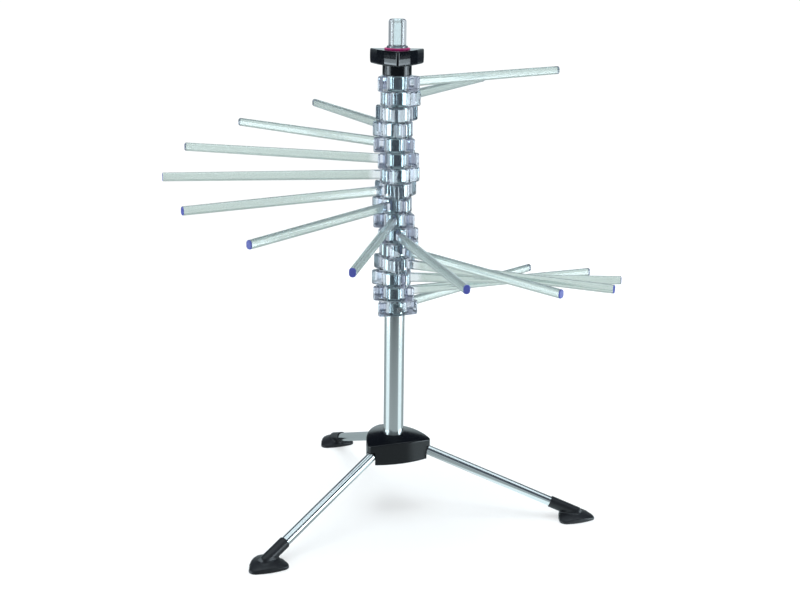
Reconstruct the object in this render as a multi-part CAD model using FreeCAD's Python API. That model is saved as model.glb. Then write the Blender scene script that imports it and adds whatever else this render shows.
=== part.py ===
import FreeCAD, Part
import math
import os

# Pasta drying rack, in millimetres. The origin is on the table under the column's axis.
# +Z runs up the column, -Y faces the viewer, and azimuths count from +X towards +Y.

# Fits
slip = 0.05            # radial play of a piece that is pushed into another
running_play = 0.08    # radial play of a piece that turns on another

# Column
column_radius = 10.0
column_wall = 1.0
column_bottom = 60.7
column_top = 441.0

# Arms and their rings, numbered from the top
arm_count = 16
arm_step = 24.5
top_arm_azimuth = 40.5
arm_reach = 220.8
arm_root_start = 13.0
arm_root_size = (7.2, 9.2)     # width and height at the ring
arm_tip_size = (6.2, 8.2)
arm_edge_round = 2.9           # along the bar
arm_end_edge = 1.0
stack_bottom = 203.9
ring_pitch = 14.5
ring_gap = 0.2
ring_height = ring_pitch - ring_gap
ring_radius = 15.6
ring_edge = 1.0
lug_reach = 22.55
lug_tip_radius = 3.0
lug_flank = 53.0               # between a lug's axis and the normal of its flanks
lug_azimuths = (60.0, 180.0, 300.0)    # from the ring's own arm

# Stops between neighbouring rings: a key below runs in a pocket above
key_radii = (11.6, 14.0)
key_height = 2.0
key_root = 0.5
key_sweep = 30.0
key_centre = 167.75
pocket_play = 0.3
pocket_depth = 2.3
pocket_end_play = 1.0

# Screw through the lowest ring
arm_screw_azimuth = 240.0      # from the lowest arm
arm_screw_radius = 1.5
arm_screw_tip = 7.5
arm_screw_seat = 15.2          # flat that the head bears on, from the axis
arm_screw_head = (2.75, 1.8)   # radius and height
screw_socket = (1.2, 1.0)      # radius and depth of the recess in a screw's head

# Clamping knob, its thread bush and its seal
bush_length = 22.0
bush_flange = 1.0
bush_thread_radius = 8.9
bush_top = 457.0
bush_bore_radius = 5.8
knob_play = 0.1                # above the top ring
knob_bottom = stack_bottom + arm_count * ring_pitch + knob_play
knob_neck_radius = 13.9
knob_head_bottom = 445.4
knob_top = 459.4
knob_point_azimuths = (31.0, 151.0, 271.0)
knob_point_reach = 29.2
knob_point_round = 2.3
knob_flank = 52.0              # between a point's axis and the normal of its flanks
knob_eave = 39.1               # from a point's axis to the eave at the end of its flank
knob_eave_round = 2.3
knob_lower_edge = 1.8
knob_upper_edge = 1.0
knob_counterbore = (10.4, 442.8)    # radius and upper end
seal_radii = (9.0, 12.2)
seal_bottom = 458.8
seal_top = 461.0
seal_edge = 0.7

# Pasta wand
wand_flange_radius = 10.0
wand_seat_play = 0.1
wand_flange_bottom = seal_top + wand_seat_play
wand_flange_top = 463.0
wand_grip_radius = 8.4
wand_top = 487.7
wand_grip_round = 3.0
wand_rod_radius = 4.6
wand_tip = 221.0
wand_tip_edge = 1.5

# Tripod hub
leg_azimuths = {"front": 231.2, "right": 351.2, "back": 111.2}
hub_bottom = 54.7
hub_middle = 26.5              # from the axis to the middle of a side
hub_side_radius = 84.0
hub_corner = 6.0
hub_dome_radius = 140.0
hub_rim_height = 76.5          # at the middle of a side
hub_rim_edge = 1.0
hub_wall = 3.2
hub_roof_underside = 71.0
hub_boss_radius = 14.0
cover_thickness = 2.0
cover_top = hub_bottom + cover_thickness
cover_play = 0.15
cover_corner = 4.0

# Screws under the hub
column_screw_radius = 2.5
column_screw_head = (4.5, 2.0)
column_screw_seat = 58.8
column_screw_top = 80.0
plug_top = 84.0
cover_screw_circle = 19.0
cover_screw_radius = 1.15
cover_screw_head = (2.8, 1.3)
cover_screw_top = 62.0
cover_hole_run_out = 0.5       # beyond the screw's end
cover_boss_radius = 3.4

# Legs: pivot in the hub, tube, hinge knuckle and foot
leg_slope = 20.5
pivot_radius = 27.0
pivot_height = 65.4
leg_tube_radius = 4.8
leg_tube_wall = 1.0
leg_tube_start = 8.5
leg_tube_end = 163.0
slot_start = 21.5
slot_length = 60.0             # beyond the hub on all its open sides
slot_half_width = 5.1
slot_roof_play = 0.25
cheek_half_width = 8.6
pin_radius = 1.5
pin_half_length = 8.2
eye_radius = 4.6
knuckle_half_width = 4.5
collar_start = 6.5
spigot_end = 24.0
saddle_post_play = 0.1

# Feet
sleeve_radius = 5.8
sleeve_start = 141.6
sleeve_end = 174.0
sleeve_lip_edge = 0.4
sleeve_end_edge = 2.2
pad_centre = 183.9
pad_middle = 15.2
pad_side_radius = 60.0
pad_corner = 7.5
pad_height = 7.0
pad_crown_radius = 52.0
pad_sole_edge = 0.7

origin = FreeCAD.Vector(0, 0, 0)
x_axis = FreeCAD.Vector(1, 0, 0)
y_axis = FreeCAD.Vector(0, 1, 0)
z_axis = FreeCAD.Vector(0, 0, 1)


def polar(radius, azimuth, height=0.0):
    turn = math.radians(azimuth)
    return FreeCAD.Vector(radius * math.cos(turn), radius * math.sin(turn), height)


def cylinder(radius, bottom, top):
    return Part.makeCylinder(radius, top - bottom, FreeCAD.Vector(0, 0, bottom))


def line(start, end):
    return Part.LineSegment(start, end).toShape()


def arc(start, through, end):
    return Part.Arc(start, through, end).toShape()


def prism(wire, height):
    return Part.Face(wire).extrude(FreeCAD.Vector(0, 0, height))


def revolved(points):
    # Closed radius and height outline, turned round the Z axis.
    corners = [FreeCAD.Vector(radius, 0, height) for radius, height in points]
    outline = Part.makePolygon(corners + corners[:1])
    return Part.Face(outline).revolve(origin, z_axis, 360)


def turned(shape, azimuth):
    copy = shape.copy()
    copy.rotate(origin, z_axis, azimuth)
    return copy


def edges_at_height(shape, height):
    def lies_flat(edge):
        box = edge.BoundBox
        return abs(box.ZMin - height) < 1e-4 and abs(box.ZMax - height) < 1e-4
    return [edge for edge in shape.Edges if lies_flat(edge)]


def rounded_triangle(middle, side_radius, corner, height, centre=0.0):
    # Three convex side arcs that run smoothly into three corner arcs. One corner points along +X.
    offset = side_radius - middle
    corner_distance = (math.sqrt(4 * (side_radius - corner) ** 2 - 3 * offset ** 2) - offset) / 2

    def touch(corner_azimuth, side_azimuth):
        corner_point = polar(corner_distance, corner_azimuth)
        outward = corner_point - polar(offset, side_azimuth + 180)
        return corner_point + outward.normalize() * corner

    edges = []
    for azimuth in (0, 120, 240):
        start = touch(azimuth, azimuth - 60)
        end = touch(azimuth, azimuth + 60)
        edges.append(arc(start, polar(corner_distance + corner, azimuth), end))
        next_start = touch(azimuth + 120, azimuth + 60)
        edges.append(arc(end, polar(middle, azimuth + 60), next_start))
    wire = Part.Wire(edges)
    wire.translate(FreeCAD.Vector(centre, 0, height))
    return wire


def lug_edges(azimuth):
    # One ring lug in plan: flank, round tip, flank, then the ring's circle up to the next lug.
    centre = lug_reach - lug_tip_radius
    flank_distance = centre * math.cos(math.radians(lug_flank)) + lug_tip_radius
    root = lug_flank - math.degrees(math.acos(flank_distance / ring_radius))
    middle = FreeCAD.Vector(centre, 0, 0)
    first_touch = middle + polar(lug_tip_radius, -lug_flank)
    last_touch = middle + polar(lug_tip_radius, lug_flank)
    edges = [
        line(polar(ring_radius, -root), first_touch),
        arc(first_touch, FreeCAD.Vector(lug_reach, 0, 0), last_touch),
        line(last_touch, polar(ring_radius, root)),
        arc(polar(ring_radius, root), polar(ring_radius, 60), polar(ring_radius, 120 - root)),
    ]
    return [turned(edge, azimuth) for edge in edges]


def ring_blank():
    edges = []
    for azimuth in lug_azimuths:
        edges += lug_edges(azimuth)
    blank = prism(Part.Wire(edges), ring_height)
    rims = edges_at_height(blank, 0) + edges_at_height(blank, ring_height)
    return blank.makeChamfer(ring_edge, rims)


def tapered_outline(root, tip, across):
    # Long trapezoid along +X, half as wide as root and tip say, in the direction of across.
    corners = [
        FreeCAD.Vector(arm_root_start, 0, 0) - across * root,
        FreeCAD.Vector(arm_reach, 0, 0) - across * tip,
        FreeCAD.Vector(arm_reach, 0, 0) + across * tip,
        FreeCAD.Vector(arm_root_start, 0, 0) + across * root,
    ]
    return Part.Face(Part.makePolygon(corners + corners[:1]))


def arm_bar():
    # Bar that tapers in width and height, with well rounded long edges and an eased end.
    width, height = arm_root_size
    plan = tapered_outline(width / 2, arm_tip_size[0] / 2, y_axis)
    plan.translate(z_axis * (-height / 2))
    side = tapered_outline(height / 2, arm_tip_size[1] / 2, z_axis)
    side.translate(y_axis * (-width / 2))
    bar = plan.extrude(z_axis * height).common(side.extrude(y_axis * width))
    bar = bar.makeFillet(arm_edge_round, [edge for edge in bar.Edges if edge.BoundBox.XLength > width])
    end_edges = [edge for edge in bar.Edges if edge.BoundBox.XMin > arm_reach - 0.01]
    bar = bar.makeChamfer(arm_end_edge, end_edges)
    bar.translate(z_axis * (ring_height / 2))
    return bar


def arc_block(inner, outer, bottom, height, start, sweep):
    block = Part.makeCylinder(outer, height, FreeCAD.Vector(0, 0, bottom), z_axis, sweep)
    block = block.cut(cylinder(inner, bottom, bottom + height))
    return turned(block, start)


def stop_key():
    start = key_centre - key_sweep / 2
    return arc_block(key_radii[0], key_radii[1], ring_height - key_root,
                     key_height + key_root, start, key_sweep)


def stop_pocket():
    # Room for the key below from the arms' folded place to their spread place.
    start = key_centre - key_sweep / 2 - pocket_end_play
    sweep = key_sweep + arm_step + 2 * pocket_end_play
    return arc_block(key_radii[0] - pocket_play, key_radii[1] + pocket_play, 0,
                     pocket_depth, start, sweep)


def radial_rod(radius, start, end):
    return Part.makeCylinder(radius, end - start, FreeCAD.Vector(start, 0, 0), x_axis)


def arm_azimuth(level):
    return top_arm_azimuth + (level - 1) * arm_step


def ring_bottom(level):
    return stack_bottom + (arm_count - level) * ring_pitch


def arm_screw_place():
    height = ring_bottom(arm_count) + ring_height / 2
    return arm_azimuth(arm_count) + arm_screw_azimuth, height


def drying_arm(level, ring, bar):
    solid = ring.fuse(bar)
    if level > 1:
        solid = solid.fuse(stop_key())
    if level < arm_count:
        solid = solid.cut(stop_pocket())
    solid = solid.cut(cylinder(column_radius + running_play, 0, ring_height))
    if level == arm_count:
        hole = radial_rod(arm_screw_radius + slip, 0, arm_screw_seat)
        hole = hole.fuse(radial_rod(arm_screw_head[0] + pocket_play, arm_screw_seat, lug_reach))
        hole.translate(FreeCAD.Vector(0, 0, ring_height / 2))
        solid = solid.cut(turned(hole, arm_screw_azimuth))
    solid = turned(solid.removeSplitter(), arm_azimuth(level))
    solid.translate(FreeCAD.Vector(0, 0, ring_bottom(level)))
    return solid


def arm_screw():
    head_radius, head_height = arm_screw_head
    socket_radius, socket_depth = screw_socket
    head_end = arm_screw_seat + head_height
    screw = radial_rod(arm_screw_radius, arm_screw_tip, arm_screw_seat)
    screw = screw.fuse(radial_rod(head_radius, arm_screw_seat, head_end))
    screw = screw.cut(radial_rod(socket_radius, head_end - socket_depth, head_end))
    azimuth, height = arm_screw_place()
    screw = turned(screw, azimuth)
    screw.translate(FreeCAD.Vector(0, 0, height))
    return screw


def column_tube():
    tube = cylinder(column_radius, column_bottom, column_top)
    tube = tube.cut(cylinder(column_radius - column_wall, column_bottom, column_top))
    azimuth, height = arm_screw_place()
    hole = turned(radial_rod(arm_screw_radius + slip, 0, column_radius + 1), azimuth)
    hole.translate(FreeCAD.Vector(0, 0, height))
    return tube.cut(hole)


def top_bush():
    inside = column_radius - column_wall - slip
    return revolved([
        (bush_bore_radius, column_top - bush_length),
        (inside, column_top - bush_length),
        (inside, column_top),
        (column_radius, column_top),
        (column_radius, column_top + bush_flange),
        (bush_thread_radius, column_top + bush_flange),
        (bush_thread_radius, bush_top),
        (bush_bore_radius, bush_top),
    ])


def column_plug():
    plug = cylinder(column_radius - column_wall - slip, column_bottom, plug_top)
    return plug.cut(cylinder(column_screw_radius + slip, column_bottom, plug_top))


def column_screw():
    head_radius, head_height = column_screw_head
    socket_radius, socket_depth = screw_socket
    head_bottom = column_screw_seat - head_height
    screw = cylinder(head_radius, head_bottom, column_screw_seat)
    screw = screw.fuse(cylinder(column_screw_radius, column_screw_seat, column_screw_top))
    return screw.cut(cylinder(socket_radius, head_bottom, head_bottom + socket_depth))


def rounded_polygon(corners):
    # Closed outline from corner points, each with the radius that rounds it.
    arcs = []
    count = len(corners)
    for index, (point, radius) in enumerate(corners):
        back = (corners[index - 1][0] - point).normalize()
        ahead = (corners[(index + 1) % count][0] - point).normalize()
        half_angle = back.getAngle(ahead) / 2
        run = radius / math.tan(half_angle)
        inward = (back + ahead).normalize() * (radius / math.sin(half_angle) - radius)
        arcs.append((point + back * run, point + inward, point + ahead * run))
    edges = []
    for index, (start, middle, end) in enumerate(arcs):
        edges.append(arc(start, middle, end))
        edges.append(line(end, arcs[(index + 1) % count][0]))
    return Part.Wire(edges)


def knob_outline(height):
    # Three points, each with two flanks that end in eaves, and straight sides between the eaves.
    flank = math.radians(knob_flank)
    flank_distance = (knob_point_reach - knob_point_round) * math.cos(flank) + knob_point_round
    eave_radius = flank_distance / math.cos(flank - math.radians(knob_eave))
    corners = []
    for azimuth in knob_point_azimuths:
        corners.append((polar(eave_radius, azimuth - knob_eave, height), knob_eave_round))
        corners.append((polar(flank_distance / math.cos(flank), azimuth, height), knob_point_round))
        corners.append((polar(eave_radius, azimuth + knob_eave, height), knob_eave_round))
    return rounded_polygon(corners)


def clamp_knob():
    head = prism(knob_outline(knob_head_bottom), knob_top - knob_head_bottom)
    knob = head.makeChamfer(knob_lower_edge, edges_at_height(head, knob_head_bottom))
    knob = knob.makeChamfer(knob_upper_edge, edges_at_height(knob, knob_top))
    knob = knob.fuse(cylinder(knob_neck_radius, knob_bottom, knob_head_bottom + knob_lower_edge))
    knob = knob.cut(cylinder(knob_counterbore[0], knob_bottom, knob_counterbore[1]))
    knob = knob.cut(cylinder(bush_thread_radius + running_play, knob_bottom, knob_top))
    return knob.cut(cylinder(seal_radii[1] + slip, seal_bottom, knob_top)).removeSplitter()


def seal_ring():
    inner, outer = seal_radii
    ring = cylinder(outer, seal_bottom, seal_top).cut(cylinder(inner, seal_bottom, seal_top))
    return ring.makeChamfer(seal_edge, edges_at_height(ring, seal_top))


def pasta_wand():
    wand = revolved([
        (0, wand_tip),
        (wand_rod_radius - wand_tip_edge, wand_tip),
        (wand_rod_radius, wand_tip + wand_tip_edge),
        (wand_rod_radius, wand_flange_bottom),
        (wand_flange_radius, wand_flange_bottom),
        (wand_flange_radius, wand_flange_top),
        (wand_grip_radius, wand_flange_top),
        (wand_grip_radius, wand_top),
        (0, wand_top),
    ])
    return wand.makeFillet(wand_grip_round, edges_at_height(wand, wand_top))


def leg_frame(shape):
    # From the leg's own frame, with its pivot at the origin and its tube along +X, to the +X leg's place.
    shape.rotate(origin, y_axis, leg_slope)
    shape.translate(FreeCAD.Vector(pivot_radius, 0, pivot_height))
    return shape


def leg_slot():
    # Room for one leg, open below and outward, with a roof that the tube bears on.
    roof = leg_tube_radius + slot_roof_play
    room = Part.makeBox(2 * slot_length, 2 * slot_half_width, slot_length,
                        FreeCAD.Vector(-slot_length, -slot_half_width, roof - slot_length))
    room = leg_frame(room)
    return room.common(upright_box(slot_start, slot_start + slot_length, slot_half_width,
                                   hub_bottom - slot_length, hub_bottom + slot_length))


def upright_box(start, end, half_width, bottom, top):
    size = FreeCAD.Vector(end - start, 2 * half_width, top - bottom)
    return Part.makeBox(size.x, size.y, size.z, FreeCAD.Vector(start, -half_width, bottom))


def pin_saddle():
    # Keyhole that the pin is pushed up into from below.
    radius = pin_radius + slip
    round_end = Part.makeCylinder(radius, 2 * cheek_half_width,
                                  FreeCAD.Vector(pivot_radius, -cheek_half_width, pivot_height), y_axis)
    slit = upright_box(pivot_radius - radius, pivot_radius + radius, cheek_half_width,
                       hub_bottom, pivot_height)
    return round_end.fuse(slit)


def on_each_leg(tool):
    # The same tool at all three legs, as one compound.
    return Part.makeCompound([turned(tool, azimuth) for azimuth in leg_azimuths.values()])


def on_each_side(tool):
    return Part.makeCompound([turned(tool, azimuth + 60) for azimuth in leg_azimuths.values()])


def hub_outline(inset, corner, height):
    wire = rounded_triangle(hub_middle - inset, hub_side_radius - inset, corner, height)
    return turned(wire, leg_azimuths["front"])


def hub_shell():
    # Three-sided block under a shallow dome, with an eased rim.
    dome_centre = hub_rim_height - math.sqrt(hub_dome_radius ** 2 - hub_middle ** 2)
    dome_top = dome_centre + hub_dome_radius
    shell = prism(hub_outline(0, hub_corner, hub_bottom), dome_top - hub_bottom)
    shell = shell.common(Part.makeSphere(hub_dome_radius, FreeCAD.Vector(0, 0, dome_centre)))
    rim = [edge for edge in shell.Edges if edge.BoundBox.ZMin > hub_roof_underside]
    return shell.makeChamfer(hub_rim_edge, rim)


def hub_cavity():
    # Space under the hub's roof, less the column boss, the hinge cheeks and the screw bosses.
    cavity = prism(hub_outline(hub_wall, cover_corner, cover_top), hub_roof_underside - cover_top)
    cavity = cavity.cut(cylinder(hub_boss_radius, cover_top, hub_roof_underside))
    cheeks = upright_box(slot_start, 2 * hub_middle, cheek_half_width, cover_top, hub_roof_underside)
    cavity = cavity.cut(on_each_leg(cheeks))
    boss = cylinder(cover_boss_radius, cover_top, hub_roof_underside)
    boss.translate(FreeCAD.Vector(cover_screw_circle, 0, 0))
    cavity = cavity.cut(on_each_side(boss))
    recess = prism(hub_outline(hub_wall, cover_corner, hub_bottom), cover_thickness)
    return cavity.fuse(recess)


def tripod_hub():
    hub = hub_shell().cut(hub_cavity())
    hub = hub.cut(on_each_leg(leg_slot())).cut(on_each_leg(pin_saddle()))
    hub = hub.cut(cylinder(column_radius + slip, column_bottom, plug_top))
    hub = hub.cut(cylinder(column_screw_radius + slip, hub_bottom, column_bottom))
    hub = hub.cut(cylinder(column_screw_head[0] + slip, hub_bottom, column_screw_seat))
    hole = cylinder(cover_screw_radius + slip, cover_top, cover_screw_top + cover_hole_run_out)
    hole.translate(FreeCAD.Vector(cover_screw_circle, 0, 0))
    return hub.cut(on_each_side(hole)).removeSplitter()


def cover_screw(play):
    # Countersunk screw on the Z axis. Play widens it into the hole that takes it.
    head_radius, head_height = cover_screw_head
    neck = hub_bottom + head_height
    return revolved([
        (0, hub_bottom),
        (head_radius + play, hub_bottom),
        (cover_screw_radius + play, neck),
        (cover_screw_radius + play, cover_screw_top),
        (0, cover_screw_top),
    ])


def cover_screws():
    screw = cover_screw(0)
    socket_radius, socket_depth = screw_socket
    screw = screw.cut(cylinder(socket_radius, hub_bottom, hub_bottom + socket_depth))
    screw.translate(FreeCAD.Vector(cover_screw_circle, 0, 0))
    return on_each_side(screw)


def saddle_posts():
    # The pair of posts that close one pin's saddle.
    half = pin_radius - saddle_post_play
    top = pivot_height - pin_radius - slip
    posts = upright_box(pivot_radius - half, pivot_radius + half, cheek_half_width - saddle_post_play,
                        cover_top, top)
    gap = upright_box(pivot_radius - pin_radius, pivot_radius + pin_radius,
                      slot_half_width + saddle_post_play, cover_top, top)
    return posts.cut(gap)


def hub_cover():
    inset = hub_wall + cover_play
    cover = prism(hub_outline(inset, cover_corner, hub_bottom), cover_thickness)
    cover = cover.cut(on_each_leg(leg_slot()))
    for azimuth in leg_azimuths.values():
        cover = cover.fuse(turned(saddle_posts(), azimuth))
    hole = cover_screw(slip)
    hole.translate(FreeCAD.Vector(cover_screw_circle, 0, 0))
    return cover.cut(on_each_side(hole)).removeSplitter()


def leg_pin():
    return Part.makeCylinder(pin_radius, 2 * pin_half_length,
                             FreeCAD.Vector(pivot_radius, -pin_half_length, pivot_height), y_axis)


def leg_knuckle():
    # Hinge eye, its shank, a collar and the spigot that fills the tube's end.
    upper = FreeCAD.Vector(0, 0, eye_radius)
    lower = FreeCAD.Vector(0, 0, -eye_radius)
    collar_upper = FreeCAD.Vector(collar_start, 0, eye_radius)
    collar_lower = FreeCAD.Vector(collar_start, 0, -eye_radius)
    profile = Part.Wire([
        arc(upper, FreeCAD.Vector(-eye_radius, 0, 0), lower),
        line(lower, collar_lower),
        line(collar_lower, collar_upper),
        line(collar_upper, upper),
    ])
    profile.translate(FreeCAD.Vector(0, -knuckle_half_width, 0))
    knuckle = Part.Face(profile).extrude(FreeCAD.Vector(0, 2 * knuckle_half_width, 0))
    knuckle = knuckle.fuse(radial_rod(leg_tube_radius, collar_start, leg_tube_start))
    knuckle = knuckle.fuse(radial_rod(leg_tube_radius - leg_tube_wall - slip, leg_tube_start, spigot_end))
    eye = Part.makeCylinder(pin_radius + running_play, 2 * knuckle_half_width,
                            FreeCAD.Vector(0, -knuckle_half_width, 0), y_axis)
    return leg_frame(knuckle.cut(eye).removeSplitter())


def leg_tube():
    tube = radial_rod(leg_tube_radius, leg_tube_start, leg_tube_end)
    return leg_frame(tube.cut(radial_rod(leg_tube_radius - leg_tube_wall, leg_tube_start, leg_tube_end)))


def foot_pad():
    # Low three-cornered shield with a flat sole and a crowned top.
    outline = rounded_triangle(pad_middle, pad_side_radius, pad_corner, 0, pad_centre)
    pad = prism(outline, pad_height)
    pad = pad.makeChamfer(pad_sole_edge, edges_at_height(pad, 0))
    crown_centre = FreeCAD.Vector(pad_centre, 0, pad_height - pad_crown_radius)
    return pad.common(Part.makeSphere(pad_crown_radius, crown_centre))


def foot():
    sleeve = radial_rod(sleeve_radius, sleeve_start, sleeve_end)
    lip = [edge for edge in sleeve.Edges if edge.BoundBox.XMax < sleeve_start + 0.01]
    sleeve = sleeve.makeChamfer(sleeve_lip_edge, lip)
    end = [edge for edge in sleeve.Edges if edge.BoundBox.XMin > sleeve_end - 0.01]
    sleeve = leg_frame(sleeve.makeChamfer(sleeve_end_edge, end))
    table = upright_box(0, 2 * pad_centre, pad_centre, -pad_centre, 0)
    bore = leg_frame(radial_rod(leg_tube_radius + slip, spigot_end, leg_tube_end))
    return foot_pad().fuse(sleeve).cut(table).cut(bore).removeSplitter()


def build():
    nodes = {
        "column_tube": column_tube(),
        "column_plug": column_plug(),
        "column_screw": column_screw(),
        "top_bush": top_bush(),
        "arm_screw": arm_screw(),
        "clamp_knob": clamp_knob(),
        "seal_ring": seal_ring(),
        "pasta_wand": pasta_wand(),
        "tripod_hub": tripod_hub(),
        "hub_cover": hub_cover(),
        "cover_screws": cover_screws(),
    }
    ring = ring_blank()
    bar = arm_bar()
    for level in range(1, arm_count + 1):
        nodes["arm_%02d" % level] = drying_arm(level, ring, bar)
    leg_pieces = {"leg_pin": leg_pin(), "leg_knuckle": leg_knuckle(), "leg_tube": leg_tube(), "foot": foot()}
    for side, azimuth in leg_azimuths.items():
        for name, shape in leg_pieces.items():
            nodes[name + "_" + side] = turned(shape, azimuth)
    return nodes


os.makedirs("parts", exist_ok=True)
for node, shape in build().items():
    shape.exportStep("parts/" + node + ".step")
    print(node, "solids", len(shape.Solids), "volume", round(shape.Volume, 1), "valid", shape.isValid())
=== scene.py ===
import bpy
import bmesh
import math
from mathutils import Matrix, Vector


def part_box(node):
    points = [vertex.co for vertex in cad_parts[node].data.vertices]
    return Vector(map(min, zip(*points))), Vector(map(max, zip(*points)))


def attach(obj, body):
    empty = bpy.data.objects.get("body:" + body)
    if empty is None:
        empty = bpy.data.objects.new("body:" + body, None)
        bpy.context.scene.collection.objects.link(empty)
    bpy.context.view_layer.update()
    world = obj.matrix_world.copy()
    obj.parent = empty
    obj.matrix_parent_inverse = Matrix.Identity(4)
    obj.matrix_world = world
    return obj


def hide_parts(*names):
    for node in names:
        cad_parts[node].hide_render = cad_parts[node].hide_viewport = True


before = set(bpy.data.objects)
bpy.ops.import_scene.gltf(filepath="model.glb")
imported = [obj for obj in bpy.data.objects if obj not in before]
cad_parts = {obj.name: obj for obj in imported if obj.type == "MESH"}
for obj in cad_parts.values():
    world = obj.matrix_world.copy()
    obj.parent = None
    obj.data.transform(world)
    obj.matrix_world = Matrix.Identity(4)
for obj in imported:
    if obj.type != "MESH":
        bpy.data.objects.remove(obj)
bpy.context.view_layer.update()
mm = 0.001
zAxis = Vector((0, 0, 1))
overcut = 1  # how far a cutter reaches past the face that it cuts, in millimetres
print("frame loaded,", len(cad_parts), "nodes")


# Small tools. Pieces are modelled in millimetres and scaled to metres when they are finished.

def linear(hexColour):
    # sRGB hex to the linear colour that shaders work in
    parts = [int(hexColour[i:i + 2], 16) / 255 for i in (1, 3, 5)]
    return [c / 12.92 if c <= 0.04045 else ((c + 0.055) / 1.055) ** 2.4 for c in parts] + [1.0]


def addNode(tree, kind, settings={}, links={}):
    # settings and links name a socket or give its number, and a node that is linked gives its first output
    node = tree.nodes.new(kind)
    for name, value in settings.items():
        if isinstance(name, int) or name in node.inputs:
            node.inputs[name].default_value = value
        else:
            setattr(node, name, value)
    for name, source in links.items():
        socket = source.outputs[0] if isinstance(source, bpy.types.Node) else source
        tree.links.new(socket, node.inputs[name])
    return node


def span(start, end, low, high):
    # settings of a Map Range node: it gives low at the start and high at the end
    return {"From Min": start, "From Max": end, "To Min": low, "To Max": high}


def startMaterial(name, coordinates="Object"):
    material = bpy.data.materials.new(name)
    material.use_nodes = True
    tree = material.node_tree
    tree.nodes.clear()
    place = addNode(tree, "ShaderNodeTexCoord").outputs[coordinates]
    return material, tree, place


def finishMaterial(tree, surface, volume=None):
    links = {"Surface": surface}
    if volume:
        links["Volume"] = volume
    addNode(tree, "ShaderNodeOutputMaterial", {}, links)


def polar(radius, azimuth, height=0.0):
    turn = math.radians(azimuth)
    return Vector((radius * math.cos(turn), radius * math.sin(turn), height))


def arcPoints(radius, start, sweep, steps):
    return [polar(radius, start + sweep * i / steps) for i in range(steps + 1)]


def flatFace(points, height=0.0):
    bm = bmesh.new()
    bm.faces.new([bm.verts.new((point.x, point.y, height)) for point in points])
    return bm


def roundCorners(bm, corners, radius, segments=6):
    bmesh.ops.bevel(bm, geom=corners, offset=radius, offset_type="OFFSET", segments=segments,
                    profile=0.5, affect="VERTICES", material=-1, clamp_overlap=False)


def roundEdges(bm, edges, radius, segments=4):
    bmesh.ops.bevel(bm, geom=edges, offset=radius, offset_type="OFFSET", segments=segments,
                    profile=0.5, affect="EDGES", material=-1, clamp_overlap=False)


def extrudeUp(bm, height):
    # a flat outline becomes a closed block
    grown = bmesh.ops.extrude_face_region(bm, geom=bm.faces[:], use_keep_orig=True)
    top = [item for item in grown["geom"] if isinstance(item, bmesh.types.BMVert)]
    bmesh.ops.translate(bm, vec=(0, 0, height), verts=top)
    bmesh.ops.recalc_face_normals(bm, faces=bm.faces[:])
    return bm


def edgesAtHeight(bm, height):
    return [edge for edge in bm.edges if all(abs(vert.co.z - height) < 1e-4 for vert in edge.verts)]


def lathe(outline, segments=96):
    # closed outline of radius, height and corner rounding, turned round the Z axis
    bm = bmesh.new()
    corners = [bm.verts.new((radius, 0, height)) for radius, height, rounding in outline]
    bm.faces.new(corners)
    for corner, point in zip(corners, outline):
        if point[2] > 0:
            roundCorners(bm, [corner], point[2])
    bmesh.ops.delete(bm, geom=bm.faces[:], context="FACES_ONLY")
    onAxis = [edge for edge in bm.edges if all(vert.co.x < 1e-6 for vert in edge.verts)]
    bmesh.ops.delete(bm, geom=onAxis, context="EDGES")
    bmesh.ops.spin(bm, geom=bm.verts[:] + bm.edges[:], cent=(0, 0, 0), axis=zAxis,
                   angle=2 * math.pi, steps=segments, use_merge=True)
    bmesh.ops.remove_doubles(bm, verts=bm.verts[:], dist=1e-5)
    bmesh.ops.recalc_face_normals(bm, faces=bm.faces[:])
    return bm


def layOnX(bm):
    # a piece turned round Z is laid down along +X
    bmesh.ops.rotate(bm, cent=(0, 0, 0), matrix=Matrix.Rotation(math.pi / 2, 3, "Y"), verts=bm.verts[:])
    return bm


def toObject(bm, name):
    mesh = bpy.data.meshes.new(name)
    bm.to_mesh(mesh)
    bm.free()
    piece = bpy.data.objects.new(name, mesh)
    bpy.context.scene.collection.objects.link(piece)
    return piece


def dropObject(piece):
    mesh = piece.data
    bpy.data.objects.remove(piece)
    bpy.data.meshes.remove(mesh)


def combine(base, tools):
    # joins or cuts closed blocks with exact booleans and gives back one block
    blank = toObject(base, "blank")
    helpers = []
    for operation, tool in tools:
        helper = toObject(tool, "helper")
        step = blank.modifiers.new(operation, "BOOLEAN")
        step.operation = operation
        step.object = helper
        step.solver = "EXACT"
        helpers.append(helper)
    bpy.context.view_layer.update()
    shaped = blank.evaluated_get(bpy.context.evaluated_depsgraph_get())
    bm = bmesh.new()
    bm.from_mesh(shaped.to_mesh())
    shaped.to_mesh_clear()
    for piece in helpers + [blank]:
        dropObject(piece)
    bmesh.ops.remove_doubles(bm, verts=bm.verts[:], dist=1e-5)
    return bm


def finishPiece(bm, name, node, body, material, place=None, sharpAngle=40):
    # scales to metres, sets the piece in place, shades it and ties it to its body
    if place:
        bmesh.ops.transform(bm, matrix=place, verts=bm.verts[:])
    bmesh.ops.scale(bm, vec=(mm, mm, mm), verts=bm.verts[:])
    piece = toObject(bm, name)
    piece.data.materials.append(material)
    piece.data.shade_smooth()
    piece.data.set_sharp_from_angle(angle=math.radians(sharpAngle))
    weighted = piece.modifiers.new("weightedNormals", "WEIGHTED_NORMAL")
    weighted.keep_sharp = True
    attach(piece, body)
    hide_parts(node)
    return piece


def dressNode(node, material):
    # a CAD node that keeps its own mesh gets its finish
    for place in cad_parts[node].material_slots:
        place.material = material


# Materials

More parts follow.
